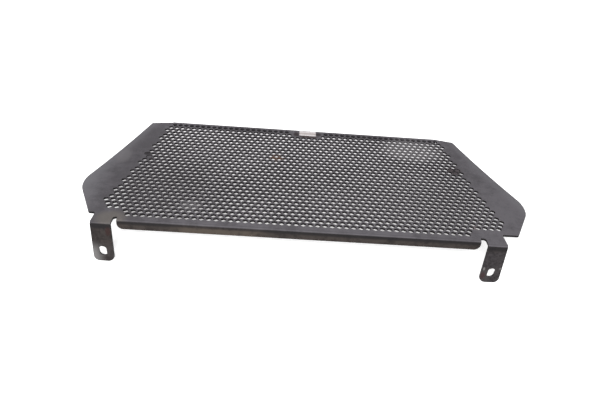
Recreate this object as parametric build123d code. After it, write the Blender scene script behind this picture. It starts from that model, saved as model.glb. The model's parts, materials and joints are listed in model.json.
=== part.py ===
"""Motorcycle radiator guard: one dished perforated sheet, folded down at both long edges and at two legs."""
import os
from math import atan2, ceil, cos, degrees, floor, radians, sin, sqrt

from build123d import *

# Sheet
sheet_thickness = 2.0
bend_radius = 0.8             # inside of every fold

# Panel, seen from above: X across the motorcycle, Y from the near fold to the far fold
panel_depth = 181.0           # outside of the far lip to outside of the near lip
panel_sag = 3.0               # dip of the panel, midway between the folds
far_edge_width = 339.0
far_edge_offset = -2.3        # middle of the far edge, from the middle of the panel
far_corner_radius = 3.0
far_end_setback = 3.5         # far corners, behind the start of the fold
shoulder_flare = 25.5         # widest corner, outside the low corner
shoulder_offset = 1.5         # middle of the two shoulders, from the middle of the panel
shoulder_rise = 47.0          # widest corner, above the low edge
shoulder_radius = 32.0
low_edge_setback = 9.0        # low edge, behind the outside of the near lip
low_corner_overhang = 5.2     # low corner, outside the nearer leg
low_corner_radius = 2.5

# Folded lips
far_lip_flat = 2.5            # straight part below the fold
far_lip_length = 299.0
near_lip_flat = 6.6
near_lip_shift = -0.7         # middle of the near lip, from the middle of the two legs
near_lip_corner_radius = 5.0

# Mounting legs, beside the near lip
leg_spacing = 335.5           # between the leg centres
leg_offset = -4.0             # middle of the two legs, from the middle of the panel
leg_width = 17.0
leg_reach = 4.2               # fold of the legs, outside the near lip
leg_length = 37.8             # along the outer face, from the fold's sharp corner
leg_fold_angle = 81.0
leg_corner_radius = 5.0
leg_root_radius = 1.5         # where the leg leaves the low edge
leg_slot_width = 6.0
leg_slot_length = 10.2
leg_slot_from_end = 10.2      # slot centre to the end of the leg
relief_width = 4.1            # mean width of the slits between the legs and the near lip
relief_past_fold = 1.9        # slit's round end, inside the start of the near fold

# Honeycomb of hexagonal holes
hole_pitch = 13.2
hole_across_flats = 9.4
field_margin = 12.0           # outside of a lip to the nearest row of hole centres
field_side_border = 19.0      # plain border at the far corners and along the lower sides
field_corner_from_near = 29.0  # widest row of holes, from the outside of the near lip
relief_clearance = 10.0       # rows this near to the relief slits end inside the near lip

# Blank label on the plain patch at the middle of the far edge
label_width = 18.5
label_offset = 1.7            # middle of the label, from the middle of the panel
label_depth = 9.5
label_thickness = 0.3
label_gap = 0.1               # label to the start of the far fold
label_corner_radius = 1.0
label_border = 2.0            # plain sheet kept round the label

# Derived places, with Y = 0 on the outside of the far lip and Z = 0 on the panel's top face
outer_radius = bend_radius + sheet_thickness
leg_centres = [leg_offset - leg_spacing / 2, leg_offset + leg_spacing / 2]
leg_half = leg_width / 2
near_lip_half = leg_spacing / 2 - leg_half - relief_width
near_lip_centre = leg_offset + near_lip_shift
low_half = leg_spacing / 2 + leg_half + abs(leg_offset) + low_corner_overhang
shoulder_half = low_half + shoulder_flare
far_half = far_edge_width / 2
far_lip_half = far_lip_length / 2
panel_reach = max(shoulder_half + abs(shoulder_offset), far_half + abs(far_edge_offset))

far_fold_y = -outer_radius
far_end_y = far_fold_y - far_end_setback
near_fold_y = outer_radius - panel_depth
middle_y = (far_fold_y + near_fold_y) / 2
relief_y = near_fold_y + relief_past_fold
low_edge_y = low_edge_setback - panel_depth
shoulder_y = low_edge_y + shoulder_rise
field_corner_y = field_corner_from_near - panel_depth
field_span = panel_depth - 2 * field_margin
row_pitch = hole_pitch * sqrt(3) / 2
row_count = floor(field_span / row_pitch) + 1
first_row_y = -field_margin - (field_span - (row_count - 1) * row_pitch) / 2
leg_corner_y = -panel_depth - leg_reach
leg_bend_setback = outer_radius * sin(radians(leg_fold_angle)) / (1 + cos(radians(leg_fold_angle)))
leg_fold_y = leg_corner_y + leg_bend_setback


def panel_outline():
    """Outline of the panel from above, without its folds, clockwise from the left end of the far fold."""
    low_round = min(low_corner_radius, 0.6 * low_corner_overhang)
    root_round = min(leg_root_radius, 0.38 * low_corner_overhang)
    corners = [
        (-far_lip_half, far_fold_y, 0),
        (far_lip_half, far_fold_y, 0),
        (far_edge_offset + far_half, far_end_y, far_corner_radius),
        (shoulder_offset + shoulder_half, shoulder_y, shoulder_radius),
        (low_half, low_edge_y, low_round),
    ]
    relief_round = min(0.49 * (relief_width - abs(near_lip_shift)), 0.9 * relief_past_fold)
    for side, centre in ((1, leg_centres[1]), (-1, leg_centres[0])):
        leg = [
            (centre + side * leg_half, low_edge_y, root_round),
            (centre + side * leg_half, leg_fold_y, 0),
            (centre - side * leg_half, leg_fold_y, 0),
            (centre - side * leg_half, relief_y, relief_round),
            (near_lip_centre + side * near_lip_half, relief_y, relief_round),
            (near_lip_centre + side * near_lip_half, near_fold_y, 0),
        ]
        corners += leg if side == 1 else reversed(leg)
    corners += [
        (-low_half, low_edge_y, low_round),
        (shoulder_offset - shoulder_half, shoulder_y, shoulder_radius),
        (far_edge_offset - far_half, far_end_y, far_corner_radius),
    ]
    points = [(x, y) for x, y, radius in corners]
    return FilletPolyline(*points, radius=[radius for x, y, radius in corners], close=True)


def field_half_width(y):
    """Half the width of the perforated field at one depth of the panel."""
    def lower_border(at):
        return low_half + shoulder_flare * (at - low_edge_y) / shoulder_rise - field_side_border
    if y < field_corner_y:
        return lower_border(y)
    far = far_half - field_side_border
    share = (y - field_corner_y) / (far_end_y - field_corner_y)
    return lower_border(field_corner_y) * (1 - share) + far * share


def hole_centres():
    """Centres of the hexagons: staggered rows that fill the field but leave the label's patch plain."""
    hole_half = hole_across_flats / 2
    hole_tip = hole_across_flats / sqrt(3)
    patch_half = label_width / 2 + label_border + hole_half
    patch_y = far_fold_y - label_gap - label_depth - label_border - hole_tip
    centres = []
    for row in range(row_count):
        y = first_row_y - row * row_pitch
        low, high = -field_half_width(y) + hole_half, field_half_width(y) - hole_half
        if y < relief_y + relief_clearance:
            low = near_lip_centre - near_lip_half + hole_half
            high = near_lip_centre + near_lip_half - hole_half
        stagger = row % 2 * hole_pitch / 2
        for column in range(ceil((low - stagger) / hole_pitch), floor((high - stagger) / hole_pitch) + 1):
            x = stagger + column * hole_pitch
            if y < patch_y or abs(x - label_offset) > patch_half:
                centres.append((x, y))
    return centres


def dish_height(y):
    """Height of the panel's top face at one depth: level with the folds at both ends, lowest midway."""
    return panel_sag * (((y - middle_y) / (far_fold_y - middle_y)) ** 2 - 1)


def dished_slab(low, high):
    """Slab between two heights over the top face, as flat strips that meet between the rows of holes."""
    bends = [first_row_y - (row + 0.5) * row_pitch for row in range(row_count - 1)]
    profile = [(y, dish_height(y)) for y in (far_fold_y, *bends, near_fold_y)]
    profile = [(far_fold_y + sheet_thickness, 0), *profile, (leg_fold_y - sheet_thickness, 0)]
    top = [(y, z + high) for y, z in profile]
    bottom = [(y, z + low) for y, z in reversed(profile)]
    return extrude(Plane.YZ * make_face(Polyline(*top, *bottom, close=True)), panel_reach, both=True)


def flange(width, fold_angle, flat_length, corner_radius):
    """Bend and flat that leave an edge of the panel at y = 0, towards +Y and down, and the flat's plane."""
    edge = Plane.XZ * Pos(0, -sheet_thickness / 2) * Rectangle(width, sheet_thickness)
    bend = revolve(edge, Axis((0, 0, -outer_radius), (-1, 0, 0)), fold_angle)
    turn = radians(fold_angle)
    face_plane = Plane(
        origin=(0, outer_radius * sin(turn), outer_radius * (cos(turn) - 1)),
        x_dir=(1, 0, 0),
        z_dir=(0, sin(turn), cos(turn)),
    )
    flat = Pos(0, flat_length / 2) * Rectangle(width, flat_length)
    if corner_radius > 0:
        end_round = min(corner_radius, 0.95 * flat_length, 0.49 * width)
        flat = fillet(flat.vertices().sort_by(Axis.Y)[-2:], end_round)
    return bend + extrude(face_plane * flat, -sheet_thickness), face_plane


def build_guard():
    """The whole folded sheet, panel level, before it is set down."""
    hexagon = RegularPolygon(hole_across_flats / 2, 6, major_radius=False, rotation=90)
    holes = [Pos(x, y) * hexagon for x, y in hole_centres()]
    blank = Pos(0, 0, sheet_thickness) * (make_face(panel_outline()) - holes)
    panel = extrude(blank, -panel_sag - 3 * sheet_thickness) & dished_slab(-sheet_thickness, 0)

    far_lip, _ = flange(2 * far_lip_half, 90, far_lip_flat, 0)
    near_lip, _ = flange(2 * near_lip_half, 90, near_lip_flat, near_lip_corner_radius)
    leg_flat = leg_length - leg_bend_setback
    leg, leg_plane = flange(leg_width, leg_fold_angle, leg_flat, leg_corner_radius)
    slot = Pos(0, leg_flat - leg_slot_from_end) * SlotOverall(leg_slot_length, leg_slot_width, rotation=90)
    leg -= extrude(leg_plane * slot, -sheet_thickness)

    to_near = Rot(0, 0, 180)
    folds = [Pos(0, far_fold_y) * far_lip, Pos(near_lip_centre, near_fold_y) * to_near * near_lip]
    folds += [Pos(centre, leg_fold_y) * to_near * leg for centre in leg_centres]
    return panel + folds


def build_label():
    """Thin blank label that lies on the panel's top face."""
    middle = Pos(label_offset, far_fold_y - label_gap - label_depth / 2, -panel_sag)
    patch = middle * RectangleRounded(label_width, label_depth, label_corner_radius)
    return extrude(patch, panel_sag + 2 * label_thickness) & dished_slab(0, label_thickness)


def resting_place(guard):
    """Turn and lift that set the guard down on the far lip's edge and the ends of the legs."""
    turn = radians(leg_fold_angle)
    leg_end_y = leg_corner_y - leg_length * cos(turn) + sheet_thickness * sin(turn)
    leg_end_z = -leg_length * sin(turn) - sheet_thickness * cos(turn)
    tilt = degrees(atan2(-outer_radius - far_lip_flat - leg_end_z, -leg_end_y))
    box = (Rot(-tilt, 0, 0) * guard).bounding_box()
    return Pos(-box.center().X, -box.center().Y, -box.min.Z) * Rot(-tilt, 0, 0)


guard_panel = build_guard()
place = resting_place(guard_panel)

os.makedirs("parts", exist_ok=True)
export_step(place * guard_panel, "parts/guard_panel.step")
export_step(place * build_label(), "parts/blank_label.step")
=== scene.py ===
import json
from math import atan2, ceil, cos, floor, pi, radians, sin, tan

import bmesh
import bpy
from mathutils import Matrix, Vector


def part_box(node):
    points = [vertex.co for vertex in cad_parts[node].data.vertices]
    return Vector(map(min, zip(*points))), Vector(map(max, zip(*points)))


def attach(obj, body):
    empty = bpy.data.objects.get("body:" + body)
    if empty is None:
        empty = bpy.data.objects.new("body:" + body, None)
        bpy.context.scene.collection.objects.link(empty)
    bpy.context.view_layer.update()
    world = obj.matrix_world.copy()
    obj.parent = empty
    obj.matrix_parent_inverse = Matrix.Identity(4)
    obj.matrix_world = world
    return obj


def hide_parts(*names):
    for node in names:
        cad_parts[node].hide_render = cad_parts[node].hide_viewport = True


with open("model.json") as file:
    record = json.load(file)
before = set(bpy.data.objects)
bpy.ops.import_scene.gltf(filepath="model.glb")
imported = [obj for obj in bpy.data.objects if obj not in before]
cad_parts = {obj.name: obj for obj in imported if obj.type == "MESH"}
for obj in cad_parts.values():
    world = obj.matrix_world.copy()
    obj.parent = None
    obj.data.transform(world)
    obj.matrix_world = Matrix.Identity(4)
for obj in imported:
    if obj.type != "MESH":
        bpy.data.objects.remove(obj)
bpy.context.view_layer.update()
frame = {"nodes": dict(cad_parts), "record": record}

# Honeycomb: staggered rows of hexagonal holes, punched while the steel is still flat, with thin webs between.
# The field narrows towards the far edge and leaves a plain patch there, and dried mud blocks a few holes.
# It is drawn level, with y = 0 on the outside of the far lip and z = 0 on the top face.
mm = 0.001
hole_pitch = 6.245 * mm
row_pitch = 5.467 * mm
hole_width = 4.55 * mm
hole_shift = 0.15 * mm
row_count = 31
first_row_y = -7.6 * mm
field_half_far = 150.8 * mm
field_flare = 0.204
field_half_low = 181.1 * mm
field_low_y = -149.5 * mm
field_low_flare = 0.538
last_rows_y = -164.0 * mm
last_rows_ends = (-156.6 * mm, 146.1 * mm)
plain_patch_half = 16.0 * mm
plain_patch_y = -15.0 * mm
mud_blocks = [  # x, y and reach
    (-162.2 * mm, -67.7 * mm, 2.0 * mm),
    (-159.1 * mm, -73.2 * mm, 2.0 * mm),
    (154.9 * mm, -63.6 * mm, 5.5 * mm),
]
mud_depth = 0.45 * mm
weld_distance = 0.05 * mm

hexagon_radius = hole_pitch / 2 / cos(radians(30))
hexagon_stretch = row_pitch / (hole_pitch * cos(radians(30)))
web_half = (hole_pitch - hole_width) / 2


def row_ends(y):
    """Furthest hole centres to the left and right that the row at this depth may have."""
    if y < last_rows_y:
        return last_rows_ends
    upper = field_half_far + field_flare * (first_row_y - y)
    lower = field_half_low + field_low_flare * (y - field_low_y)
    half = min(upper, lower)
    return -half, half


def blocked(x, y):
    """True where dried mud fills the hole."""
    return any(Vector((x - mud_x, y - mud_y)).length < reach for mud_x, mud_y, reach in mud_blocks)


sheet = bmesh.new()
open_cells, mud_cells = [], []
for row in range(row_count):
    y = first_row_y - row * row_pitch
    left, right = row_ends(y)
    stagger = (row + 1) % 2 * hole_pitch / 2
    first, last = ceil((left - stagger) / hole_pitch), floor((right - stagger) / hole_pitch)
    for column in range(first, last + 1):
        x = hole_shift + stagger + column * hole_pitch
        place = Matrix.Translation((x, y, 0)) @ Matrix.Diagonal((1, hexagon_stretch, 1, 1))
        cell = bmesh.ops.create_circle(sheet, cap_ends=True, segments=6, radius=hexagon_radius, matrix=place)
        if y > plain_patch_y and abs(x) < plain_patch_half:
            continue
        cells = mud_cells if blocked(x, y) else open_cells
        cells.append(cell["verts"][0].link_faces[0])
bmesh.ops.remove_doubles(sheet, verts=sheet.verts, dist=weld_distance)
bmesh.ops.inset_individual(sheet, faces=open_cells, thickness=web_half, use_even_offset=True)
bmesh.ops.inset_individual(sheet, faces=mud_cells, thickness=web_half, depth=-mud_depth, use_even_offset=True)
field_rim = [edge for edge in sheet.edges if edge.is_boundary]
bmesh.ops.delete(sheet, geom=open_cells, context="FACES")

# Plain border: the steel round the honeycomb, cut to the guard's outline with a relief slit beside each leg.
# The far edge slants back at its ends, and the sides flare out to rounded shoulders above the low edge.
# The whole panel is then dished a little, so that it is lowest midway between the two folded edges.
outer_radius = 2.8 * mm
panel_depth = 181.0 * mm
panel_sag = 3.0 * mm
far_half = 169.5 * mm
far_edge_offset = -2.3 * mm
far_lip_half = 149.5 * mm
far_end_setback = 3.5 * mm
far_corner_radius = 3.0 * mm
shoulder_flare = 25.5 * mm
shoulder_offset = 1.5 * mm
shoulder_rise = 47.0 * mm
shoulder_radius = 32.0 * mm
low_edge_setback = 9.0 * mm
low_edge_trim_left = 1.1 * mm
low_edge_trim_right = 2.9 * mm
low_corner_overhang = 5.2 * mm
low_corner_radius = 2.5 * mm
leg_spacing = 335.5 * mm
leg_offset = -4.0 * mm
leg_width = 17.0 * mm
leg_reach = 4.2 * mm
leg_fold_angle = radians(81)
leg_root_radius = 1.5 * mm
relief_width = 4.1 * mm
relief_past_fold = 1.9 * mm
relief_leg_radius = 2.3 * mm
relief_lip_radius = 1.0 * mm
near_lip_shift = -0.7 * mm
border_band = 0.9 * mm
dish_step = 8.0 * mm
wide_round = 10.0 * mm
wide_round_segments = 14
small_round_segments = 6

leg_half = leg_width / 2
leg_centres = [leg_offset - leg_spacing / 2, leg_offset + leg_spacing / 2]
leg_bend_setback = outer_radius * tan(leg_fold_angle / 2)
near_lip_half = leg_spacing / 2 - leg_half - relief_width
near_lip_centre = leg_offset + near_lip_shift
low_half = leg_spacing / 2 + leg_half + abs(leg_offset) + low_corner_overhang
shoulder_half = low_half + shoulder_flare
far_fold_y = -outer_radius
far_end_y = far_fold_y - far_end_setback
near_fold_y = outer_radius - panel_depth
middle_y = (far_fold_y + near_fold_y) / 2
relief_y = near_fold_y + relief_past_fold
low_edge_y = low_edge_setback - panel_depth
shoulder_y = low_edge_y + shoulder_rise
leg_fold_y = leg_bend_setback - panel_depth - leg_reach


def half_outline(side):
    """Corners of one half of the flat sheet, from far fold to near fold, as x, y and corner radius."""
    centre = leg_centres[1] if side > 0 else leg_centres[0]
    outer, inner = centre + side * leg_half, centre - side * leg_half
    lip_end = near_lip_centre + side * near_lip_half
    trim = low_edge_trim_right if side > 0 else low_edge_trim_left
    shoulder_x, low_x = shoulder_offset + side * shoulder_half, side * low_half
    low_x += trim * (shoulder_x - low_x) / shoulder_rise
    return [
        (side * far_lip_half, far_fold_y, 0),
        (far_edge_offset + side * far_half, far_end_y, far_corner_radius),
        (shoulder_x, shoulder_y, shoulder_radius),
        (low_x, low_edge_y + trim, low_corner_radius),
        (outer, low_edge_y + trim, leg_root_radius),
        (outer, leg_fold_y, 0),
        (inner, leg_fold_y, 0),
        (inner, relief_y, relief_leg_radius),
        (lip_end, relief_y, relief_lip_radius),
        (lip_end, near_fold_y, 0),
    ]


def round_corner(mesh, corner, radius, segments):
    """Turns one corner of a flat outline into an arc that meets both of its edges smoothly."""
    one, other = [edge.other_vert(corner).co - corner.co for edge in corner.link_edges]
    bmesh.ops.bevel(
        mesh, geom=[corner], affect="VERTICES", offset=radius / tan(one.angle(other) / 2),
        offset_type="OFFSET", segments=segments, profile=0.5, material=-1)


def rise(edge):
    """How far an edge runs from near to far."""
    return abs(edge.verts[0].co.y - edge.verts[1].co.y)


outline = half_outline(1) + half_outline(-1)[::-1]
corners = [sheet.verts.new((x, y, 0)) for x, y, radius in outline]
sheet.faces.new(corners)
for corner, (x, y, radius) in zip(corners, outline):
    if radius:
        segments = wide_round_segments if radius > wide_round else small_round_segments
        round_corner(sheet, corner, radius, segments)
border = max(sheet.faces, key=lambda face: face.calc_area())
for edge in [edge for edge in border.edges if rise(edge) > 2 * dish_step]:
    bmesh.ops.subdivide_edges(sheet, edges=[edge], cuts=floor(rise(edge) / dish_step))
border = max(sheet.faces, key=lambda face: face.calc_area())
bmesh.ops.inset_region(sheet, faces=[border], thickness=border_band, use_even_offset=True)
inner_rim = border.edges[:]
bmesh.ops.delete(sheet, geom=[border], context="FACES_ONLY")
bmesh.ops.triangle_fill(sheet, edges=inner_rim + field_rim, use_beauty=True, normal=(0, 0, 1))
for vert in sheet.verts:
    across = (vert.co.y - middle_y) / (far_fold_y - middle_y)
    vert.co.z += panel_sag * min(across ** 2 - 1, 0)

# Folded lips: the far and near edges of the same sheet, bent down square over a small radius to stiffen it.
# The near lip is the deeper one, and its lower corners are rounded.
far_lip_flat = 2.5 * mm
near_lip_flat = 6.6 * mm
near_lip_corner_radius = 5.0 * mm
end_round_segments = 8
bend_steps = 8
fold_line_reach = 0.01 * mm


def fold_down(mesh, y, left, right, side, angle, flat):
    """Bends one edge of a fold line down and adds the flat below it; returns the flat's two end corners."""
    def on_fold_line(vert):
        inside = left - fold_line_reach < vert.co.x < right + fold_line_reach
        return inside and abs(vert.co.y - y) < fold_line_reach
    edge = next(edge for edge in mesh.edges if edge.is_boundary and all(map(on_fold_line, edge.verts)))
    bend = bmesh.ops.spin(
        mesh, geom=[edge, *edge.verts], cent=(0, y, -outer_radius), axis=(1, 0, 0), angle=-side * angle,
        steps=bend_steps, use_merge=False)
    end = [part for part in bend["geom_last"] if isinstance(part, bmesh.types.BMEdge)]
    drop = bmesh.ops.extrude_edge_only(mesh, edges=end)["geom"]
    ends = [part for part in drop if isinstance(part, bmesh.types.BMVert)]
    bmesh.ops.translate(mesh, verts=ends, vec=(0, side * flat * cos(angle), -flat * sin(angle)))
    return ends


fold_down(sheet, far_fold_y, -far_lip_half, far_lip_half, 1, pi / 2, far_lip_flat)
near_lip_ends = (near_lip_centre - near_lip_half, near_lip_centre + near_lip_half)
for end in fold_down(sheet, near_fold_y, *near_lip_ends, -1, pi / 2, near_lip_flat):
    round_corner(sheet, end, near_lip_corner_radius, end_round_segments)

# Mounting legs: two strips beside the near lip, bent down a little short of square, with rounded ends.
# Each has an upright slot near its end for the bolt that holds the guard in front of the radiator.
leg_length = 37.8 * mm
leg_corner_radius = 5.0 * mm
leg_slot_width = 6.0 * mm
leg_slot_length = 10.2 * mm
leg_slot_from_end = 10.2 * mm
slot_segments = 28

leg_flat = leg_length - leg_bend_setback
leg_down = Vector((0, -cos(leg_fold_angle), -sin(leg_fold_angle)))
leg_plane = Matrix.Rotation(-leg_fold_angle, 4, "X") @ Matrix.Rotation(pi / slot_segments, 4, "Z")
slot_radius = leg_slot_width / 2 / cos(pi / slot_segments)
slot_stretch = (leg_slot_length - leg_slot_width) / 2
for centre in leg_centres:
    ends = fold_down(sheet, leg_fold_y, centre - leg_half, centre + leg_half, -1, leg_fold_angle, leg_flat)
    slot_centre = (ends[0].co + ends[1].co) / 2 - leg_slot_from_end * leg_down
    for end in ends:
        round_corner(sheet, end, leg_corner_radius, end_round_segments)
    plate = min(sheet.faces, key=lambda face: (face.calc_center_median() - slot_centre).length)
    plate_rim = plate.edges[:]
    bmesh.ops.delete(sheet, geom=[plate], context="FACES_ONLY")
    slot = bmesh.ops.create_circle(
        sheet, segments=slot_segments, radius=slot_radius,
        matrix=Matrix.Translation(slot_centre) @ leg_plane)["verts"]
    for vert in slot:
        lower_half = (vert.co - slot_centre).dot(leg_down) > 0
        vert.co += leg_down * (slot_stretch if lower_half else -slot_stretch)
    slot_rim = list({edge for vert in slot for edge in vert.link_edges})
    bmesh.ops.triangle_fill(sheet, edges=plate_rim + slot_rim, use_beauty=True)

# Sheet thickness: the top faces get their inner side, and every cut edge is eased as powder coat rounds it.
# The guard is then set down as it stands, on the far lip and the ends of the legs.
sheet_thickness = 2.0 * mm
cut_ease = 0.2 * mm
cut_angle = radians(65)
level_enough = 0.9

bmesh.ops.recalc_face_normals(sheet, faces=sheet.faces)
if sum(face.normal.z * face.calc_area() for face in sheet.faces) < 0:
    bmesh.ops.reverse_faces(sheet, faces=sheet.faces)
bmesh.ops.solidify(sheet, geom=sheet.faces[:], thickness=sheet_thickness)
cut_edges = [edge for edge in sheet.edges if edge.is_manifold and edge.calc_face_angle() > cut_angle]
bmesh.ops.bevel(
    sheet, geom=cut_edges, affect="EDGES", offset=cut_ease, offset_type="OFFSET", segments=1, profile=0.5,
    material=-1, clamp_overlap=True)
sheet.normal_update()
upward = sheet.faces.layers.float.new("upward")
for face in sheet.faces:
    in_panel = near_fold_y < face.calc_center_median().y < far_fold_y
    face[upward] = face.normal.z > level_enough if in_panel else max(face.normal.z, 0)

seat = next(mount for mount in frame["record"]["mounts"] if mount["name"] == "left_leg_seat")
tilt = leg_fold_angle - atan2(seat["axis"][1], -seat["axis"][2])
bmesh.ops.rotate(sheet, cent=(0, 0, 0), matrix=Matrix.Rotation(-tilt, 3, "X"), verts=sheet.verts)
low, high = [Vector(corner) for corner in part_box("guard_panel")]
own_low = Vector([min(vert.co[axis] for vert in sheet.verts) for axis in range(3)])
own_high = Vector([max(vert.co[axis] for vert in sheet.verts) for axis in range(3)])
set_down = (low + high - own_low - own_high) / 2
set_down.z = low.z - own_low.z
bmesh.ops.translate(sheet, verts=sheet.verts, vec=set_down)

guard_mesh = bpy.data.meshes.new("guard_panel_sheet")
sheet.to_mesh(guard_mesh)
sheet.free()
guard_mesh.polygons.foreach_set("use_smooth", [True] * len(guard_mesh.polygons))
guard = bpy.data.objects.new("guard_panel_sheet", guard_mesh)
bpy.context.scene.collection.objects.link(guard)
even_shading = guard.modifiers.new("even_shading", "WEIGHTED_NORMAL")
even_shading.weight = 80
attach(guard, "root")
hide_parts("guard_panel")


# Powder coat: satin black, gone grey with road dust, with brown dirt and painted shade on the folded fronts.
# It is baked on all over the sheet, edges and hole walls included, and the hole walls carry painted shade
# too.
# Its places are in metres, and a pair of them is where a mask starts and where it is full.
class Value:
    """An output socket of a material's nodes. Sums and products of values add Math nodes."""

    def __init__(self, socket):
        self.socket = socket

    def node(self, kind, settings=(), inputs=(), output=0):
        """Adds a node beside this one: first its settings, then the values or links of its sockets."""
        tree = self.socket.id_data
        made = tree.nodes.new(kind)
        for name, setting in dict(settings).items():
            setattr(made, name, setting)
        for name, source in dict(inputs).items():
            if isinstance(source, Value):
                tree.links.new(source.socket, made.inputs[name])
            else:
                made.inputs[name].default_value = source
        return Value(made.outputs[output])

    def math(self, operation, one, other):
        return self.node("ShaderNodeMath", {"operation": operation}, {0: one, 1: other})

    def __add__(self, other):
        return self.math("ADD", self, other)

    def __sub__(self, other):
        return self.math("SUBTRACT", self, other)

    def __rsub__(self, other):
        return self.math("SUBTRACT", other, self)

    def __mul__(self, other):
        return self.math("MULTIPLY", self, other)

    __radd__ = __add__
    __rmul__ = __mul__

    def ramp(self, low, high):
        """0 below low and 1 above high, with a soft step between; low may be the greater."""
        return self.node(
            "ShaderNodeMapRange", {"interpolation_type": "SMOOTHSTEP"},
            {"Value": self, "From Min": low, "From Max": high})

    def mix(self, one, other):
        """Colour one where this mask is 0 and colour other where it is 1."""
        one, other = [colour if isinstance(colour, Value) else (*colour, 1) for colour in (one, other)]
        return self.node("ShaderNodeMix", {"data_type": "RGBA"}, {0: self, 6: one, 7: other}, output=2)

    def axes(self):
        """The three parts of a place."""
        return [Value(part) for part in self.node("ShaderNodeSeparateXYZ", {}, {0: self}).socket.node.outputs]

    def noise(self, scale, detail, roughness=0.5):
        """Cloudy pattern from 0 to 1 at a place, with so many waves to the metre."""
        return self.node(
            "ShaderNodeTexNoise", {},
            {"Vector": self, "Scale": scale, "Detail": detail, "Roughness": roughness})


coat = bpy.data.materials.new("black_powder_coat")
coat.use_nodes = True
coat_shader = coat.node_tree.nodes["Principled BSDF"]
point = Value(coat.node_tree.nodes.new("ShaderNodeTexCoord").outputs["Object"])
width, depth, height = point.axes()
cloud = point.noise(16.0, 4.0)
mottle = point.noise(110.0, 4.0, 0.6)
speckle = point.noise(520.0, 3.0, 0.6)
ragged = mottle - 0.5


def spot(x, other, half_width, half_other, along=depth):
    """Soft oval mask with a frayed edge, its middle given by x and by its place along another axis."""
    off_x, off_y = (width - x) * (1 / half_width), (along - other) * (1 / half_other)
    return (off_x * off_x + off_y * off_y + 0.8 * ragged).ramp(1.0, 0.1)


front_y = (-0.0770, -0.0790)
legs_middle_x = -0.005
legs_from_middle_squared = (0.0245, 0.0251)
facing_up = point.node("ShaderNodeAttribute", {"attribute_name": "upward"}, output=2)
settled = facing_up.ramp(0.35, 0.75)
# Bend faces tilted a little from level, which get the painted highlight and shade on the bends
bend_tone_band = facing_up.ramp(0.7, 0.85) * facing_up.ramp(0.995, 0.96)
front = depth.ramp(*front_y) * (1 - settled)
from_middle = width - legs_middle_x
on_leg = front * (from_middle * from_middle).ramp(*legs_from_middle_squared)
on_lip = front - on_leg

far_lip_y = (0.0885, 0.0925)
# Painted shade: faces that do not look up, the hole walls among them, are far darker than bare black coat
bare_coat_and_wall_shade = ((0.012, 0.011, 0.012), (0.016, 0.014, 0.015))
far_lip_coat = (0.032, 0.030, 0.033)
# Brown dirt over painted shade: the fronts are darker than the top though the lamp lights them alike
worn_coat_and_front_shade = ((0.018, 0.015, 0.0145), (0.036, 0.030, 0.0285))
dusty_coat = ((0.074, 0.069, 0.076), (0.116, 0.109, 0.120))
bare_and_wall_shaded = depth.ramp(*far_lip_y).mix(cloud.ramp(0.3, 0.7).mix(*bare_coat_and_wall_shade), far_lip_coat)
worn_and_front_shaded = (0.6 * mottle + 0.4 * speckle).ramp(0.4, 0.6).mix(*worn_coat_and_front_shade)
dusty = (0.5 * cloud + 0.3 * mottle + 0.2 * speckle).ramp(0.4, 0.6).mix(*dusty_coat)
base = settled.mix(front.mix(bare_and_wall_shaded, worn_and_front_shaded), dusty)

# Bends and fronts: a painted highlight on the far bends, painted shade on the near bends, under the near
# folds and on the right leg, and dust on the lip and legs
painted_bend_highlight = (0.185, 0.182, 0.195)
painted_bend_shade = (0.045, 0.041, 0.045)
# Painted shade: a dark band across the fronts just under the near folds
under_fold_z = (0.0305, 0.0325)
under_fold_shade_colour = (0.012, 0.011, 0.012)
lip_dust_x = ((-0.122, -0.100), (-0.028, -0.050))
lip_dust_z = (0.0338, 0.0310)
lip_dust_colour = (0.074, 0.060, 0.049)
# Painted shade: the right leg's front darker below its fold
right_leg_x = (0.10, 0.15)
right_leg_z = (0.0330, 0.0290)
right_leg_shade_colour = ((0.021, 0.019, 0.021), (0.043, 0.039, 0.043))
leg_dust_z = (0.021, 0.010)
leg_dust_colour = (0.056, 0.051, 0.052)
rubbed_edge_x = (-0.170, -0.181)
rubbed_edge_z = (0.022, 0.008)
rubbed_edge_colour = (0.180, 0.174, 0.174)

dust_patch = width.ramp(*lip_dust_x[0]) * width.ramp(*lip_dust_x[1])
under_fold_shade = front * height.ramp(*under_fold_z) * (0.85 - 0.5 * dust_patch)
lip_dust = on_lip * height.ramp(*lip_dust_z) * mottle.ramp(0.25, 0.55) * (0.15 + 0.65 * dust_patch)
right_leg_shade = on_leg * width.ramp(*right_leg_x) * height.ramp(*right_leg_z)
leg_dust = on_leg * height.ramp(*leg_dust_z) * mottle.ramp(0.3, 0.6)
rubbed_edge = on_leg * width.ramp(*rubbed_edge_x) * height.ramp(*rubbed_edge_z)
# Painted highlight on the far bends; painted shade on the near bends, under the near folds and on the right
# leg
for mask, colour in (
        (0.9 * bend_tone_band * depth.ramp(0.0, 0.05), painted_bend_highlight),
        (0.45 * bend_tone_band * depth.ramp(0.0, -0.05), painted_bend_shade),
        (under_fold_shade, under_fold_shade_colour),
        (lip_dust, lip_dust_colour),
        (0.7 * right_leg_shade, speckle.ramp(0.35, 0.65).mix(*right_leg_shade_colour)),
        (0.5 * leg_dust, leg_dust_colour),
        (0.8 * rubbed_edge, rubbed_edge_colour)):
    base = mask.mix(base, colour)
for x, z, half_width, half_height, colour in (
        (0.1556, 0.0140, 0.0011, 0.0020, (0.200, 0.190, 0.185)),
        (0.1698, 0.0150, 0.0012, 0.0015, (0.150, 0.145, 0.145)),
        (0.1560, 0.0075, 0.0030, 0.0045, (0.040, 0.020, 0.022)),
        (-0.1668, 0.0290, 0.0030, 0.0050, (0.030, 0.014, 0.013))):
    base = (0.7 * on_leg * spot(x, z, half_width, half_height, along=height)).mix(base, colour)
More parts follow.
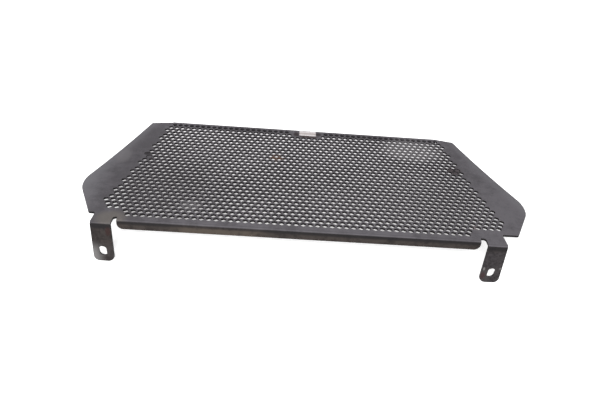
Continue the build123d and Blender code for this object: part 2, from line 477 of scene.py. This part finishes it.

# Top face: paler towards its side edges, with a broad darker area over the left middle, a lighter one towards
# the far right, and patches of dust, dirt and rust
pale_shoulder_x = (-0.180, -0.206)
pale_shoulder_colour = (0.135, 0.131, 0.142)
far_corner_y = 0.0913
left_far_corner_x, left_side_slope = -0.1729, 0.2887
right_far_corner_x, right_side_slope = 0.1661, 0.351
side_rim_width = (0.010, 0.001)
side_rim_colour = (0.150, 0.147, 0.158)
base = (0.85 * settled * width.ramp(*pale_shoulder_x)).mix(base, pale_shoulder_colour)
in_from_left = width - left_far_corner_x + left_side_slope * (far_corner_y - depth)
in_from_right = right_far_corner_x + right_side_slope * (far_corner_y - depth) - width
for in_from_side in (in_from_left, in_from_right):
    side_rim = (in_from_side + 0.006 * ragged).ramp(*side_rim_width)
    base = (0.5 * settled * side_rim).mix(base, side_rim_colour)
# The first patch darkens a broad area over the left middle; the third lightens one towards the far right.
for x, y, half_width, half_depth, share, colour in (
        (-0.1450, -0.0120, 0.062, 0.070, 0.50, (0.030, 0.027, 0.030)),
        (-0.1043, -0.0526, 0.012, 0.009, 0.40, (0.150, 0.143, 0.150)),
        (0.1145, 0.0700, 0.040, 0.028, 0.65, (0.160, 0.153, 0.160)),
        (-0.0314, 0.0380, 0.009, 0.007, 0.70, (0.092, 0.052, 0.033))):
    base = (share * spot(x, y, half_width, half_depth)).mix(base, colour)
for x, y, half_width, half_depth, share, colour in (
        (-0.1850, 0.0240, 0.009, 0.016, 0.60, (0.140, 0.133, 0.140)),
        (0.1500, -0.0612, 0.006, 0.004, 0.60, (0.170, 0.140, 0.142)),
        (-0.1664, -0.0773, 0.016, 0.012, 0.50, (0.145, 0.130, 0.113)),
        (0.1538, 0.0344, 0.011, 0.010, 0.70, (0.050, 0.037, 0.039)),
        (-0.1633, 0.0304, 0.003, 0.003, 0.90, (0.018, 0.016, 0.018)),
        (-0.0121, 0.0872, 0.004, 0.005, 0.85, (0.026, 0.018, 0.019)),
        (0.0020, 0.0835, 0.013, 0.003, 0.80, (0.040, 0.026, 0.024)),
        (0.0127, 0.0890, 0.0045, 0.005, 0.85, (0.026, 0.020, 0.021))):
    base = (share * settled * spot(x, y, half_width, half_depth)).mix(base, colour)

grain = point.node(
    "ShaderNodeBump", {}, {"Strength": 0.25, "Distance": 0.05 * mm, "Height": point.noise(1100.0, 2.0)})
coat_links = coat.node_tree.links
coat_links.new(base.socket, coat_shader.inputs["Base Color"])
coat_links.new((0.5 + 0.15 * cloud).socket, coat_shader.inputs["Roughness"])
coat_links.new(grain.socket, coat_shader.inputs["Normal"])
coat_shader.inputs["Specular IOR Level"].default_value = 0.09
guard_mesh.materials.append(coat)

# Label: a small blank pale sticker on the plain patch at the middle of the far edge, a little soiled.
# It is thin film with rounded corners, stuck flat on the coat.
clean_film = (0.66, 0.62, 0.625)
soiled_film = (0.38, 0.335, 0.325)
smear_y = ((0.0865, 0.0885), (0.0925, 0.0905))

film = bpy.data.materials.new("pale_label")
film.use_nodes = True
film_shader = film.node_tree.nodes["Principled BSDF"]
film_point = Value(film.node_tree.nodes.new("ShaderNodeTexCoord").outputs["Object"])
_, film_depth, _ = film_point.axes()
smear = film_depth.ramp(*smear_y[0]) * film_depth.ramp(*smear_y[1])
soil = 0.8 * smear + film_point.noise(260.0, 4.0, 0.6).ramp(0.5, 0.8)
film.node_tree.links.new(soil.mix(clean_film, soiled_film).socket, film_shader.inputs["Base Color"])
film_shader.inputs["Roughness"].default_value = 0.5
label = frame["nodes"]["blank_label"]
label.data.materials.clear()
label.data.materials.append(film)


# Stage: a white floor that keeps the guard's shadow, seen against an even white surround. Where it is seen,
# the floor glows by place, which paints its shadow deeper under the guard's sides and paints it out
# elsewhere.
# One broad soft lamp hangs high in front of the guard and lights its top face and fronts about alike;
# the fronts look darker through painted shade in their coat.
def seen_directly(tree):
    """1 for the rays that show the surround itself: from the camera, in gloss and through clear things."""
    ray = tree.nodes.new("ShaderNodeLightPath")
    seen = Value(ray.outputs["Is Camera Ray"])
    for kind in ("Is Glossy Ray", "Is Transmission Ray"):
        seen = seen.math("MAXIMUM", seen, Value(ray.outputs[kind]))
    return seen


floor_mesh = bmesh.new()
bmesh.ops.create_grid(floor_mesh, x_segments=1, y_segments=1, size=4.0)
floor_data = bpy.data.meshes.new("floor")
floor_mesh.to_mesh(floor_data)
floor_mesh.free()
floor_object = bpy.data.objects.new("floor", floor_data)
bpy.context.scene.collection.objects.link(floor_object)

floor_material = bpy.data.materials.new("white_floor")
floor_material.use_nodes = True
floor_tree = floor_material.node_tree
floor_tree.nodes.clear()
seen = seen_directly(floor_tree)
floor_width, floor_depth, _ = seen.node("ShaderNodeTexCoord", output="Object").axes()

# Glow of the floor where it is seen, painted light and shadow: least under the guard's sides, a painted
# shadow;
# more in front, beside, by the legs and towards the far edge, which paints the shadow out; most far off
width_squared = floor_width * floor_width
left_shade = floor_width.ramp(-0.06, -0.12) * floor_width.ramp(-0.185, -0.165)
right_shade = floor_width.ramp(0.06, 0.12) * floor_width.ramp(0.175, 0.155)
painted_shadow_under_sides = (left_shade + 0.4 * right_shade) * floor_depth.ramp(-0.07, -0.05)
in_front = floor_depth.ramp(-0.057, -0.062)
beside = width_squared.ramp(0.0295, 0.0315)
by_legs = width_squared.ramp(0.0225, 0.0262) * floor_depth.ramp(-0.044, -0.049)
far_off = (width_squared + floor_depth * floor_depth).ramp(0.08, 0.20)
towards_far_edge = floor_depth.ramp(-0.02, 0.09)
glow = floor_depth.ramp(-0.06, 0.0).mix((0.43, 0.42, 0.42), (0.53, 0.52, 0.52))
for mask, colour in (
        (painted_shadow_under_sides, (0.27, 0.26, 0.26)),
        (in_front, (0.55, 0.55, 0.55)),
        (beside, (0.62, 0.62, 0.62)),
        (by_legs, (0.70, 0.70, 0.70)),
        (far_off, (1, 1, 1)),
        (towards_far_edge, (0.85, 0.84, 0.85))):
    glow = mask.mix(glow, colour)
matt = seen.node("ShaderNodeBsdfDiffuse", {}, {"Color": (0.8, 0.8, 0.8, 1)})
lift = seen.node("ShaderNodeEmission", {}, {"Color": glow})
lifted = seen.node("ShaderNodeAddShader", {}, {0: matt, 1: lift})
surface = seen.node("ShaderNodeMixShader", {}, {0: seen, 1: matt, 2: lifted})
floor_tree.links.new(surface.socket, floor_tree.nodes.new("ShaderNodeOutputMaterial").inputs["Surface"])
floor_data.materials.append(floor_material)

world = bpy.data.worlds.new("white_surround")
world.use_nodes = True
world_tree = world.node_tree
world_tree.nodes.clear()
in_view = seen_directly(world_tree)
soft_light = in_view.node("ShaderNodeBackground", {}, {"Color": (1, 1, 1, 1), "Strength": 0.3})
white = in_view.node("ShaderNodeBackground", {}, {"Color": (1, 1, 1, 1), "Strength": 1.0})
surround = in_view.node("ShaderNodeMixShader", {}, {0: in_view, 1: soft_light, 2: white})
world_tree.links.new(surround.socket, world_tree.nodes.new("ShaderNodeOutputWorld").inputs["Surface"])
bpy.context.scene.world = world

lamp_data = bpy.data.lights.new("soft_overhead", "AREA")
lamp_data.shape = "RECTANGLE"
lamp_data.size, lamp_data.size_y = 1.0, 0.8
lamp_data.energy = 27.0
lamp = bpy.data.objects.new("soft_overhead", lamp_data)
lamp.location = (-0.25, -0.8, 1.1)
lamp.rotation_euler = (-lamp.location).to_track_quat("-Z", "Y").to_euler()
bpy.context.scene.collection.objects.link(lamp)

# Camera: where the photograph was taken from, close above the near side and a little left of the middle.
# It has a short lens and looks down at about 45 degrees, with a slight roll.
camera_data = bpy.data.cameras.new("camera")
camera_data.lens = 30.0
camera_data.sensor_width = 36.0
camera_data.clip_start = 0.01
camera = bpy.data.objects.new("camera", camera_data)
camera.location = (-0.02402, -0.35776, 0.35556)
camera.rotation_euler = (radians(44.357), radians(-3.962), radians(1.040))
bpy.context.scene.collection.objects.link(camera)
bpy.context.scene.camera = camera
bpy.context.scene.view_settings.view_transform = "Standard"
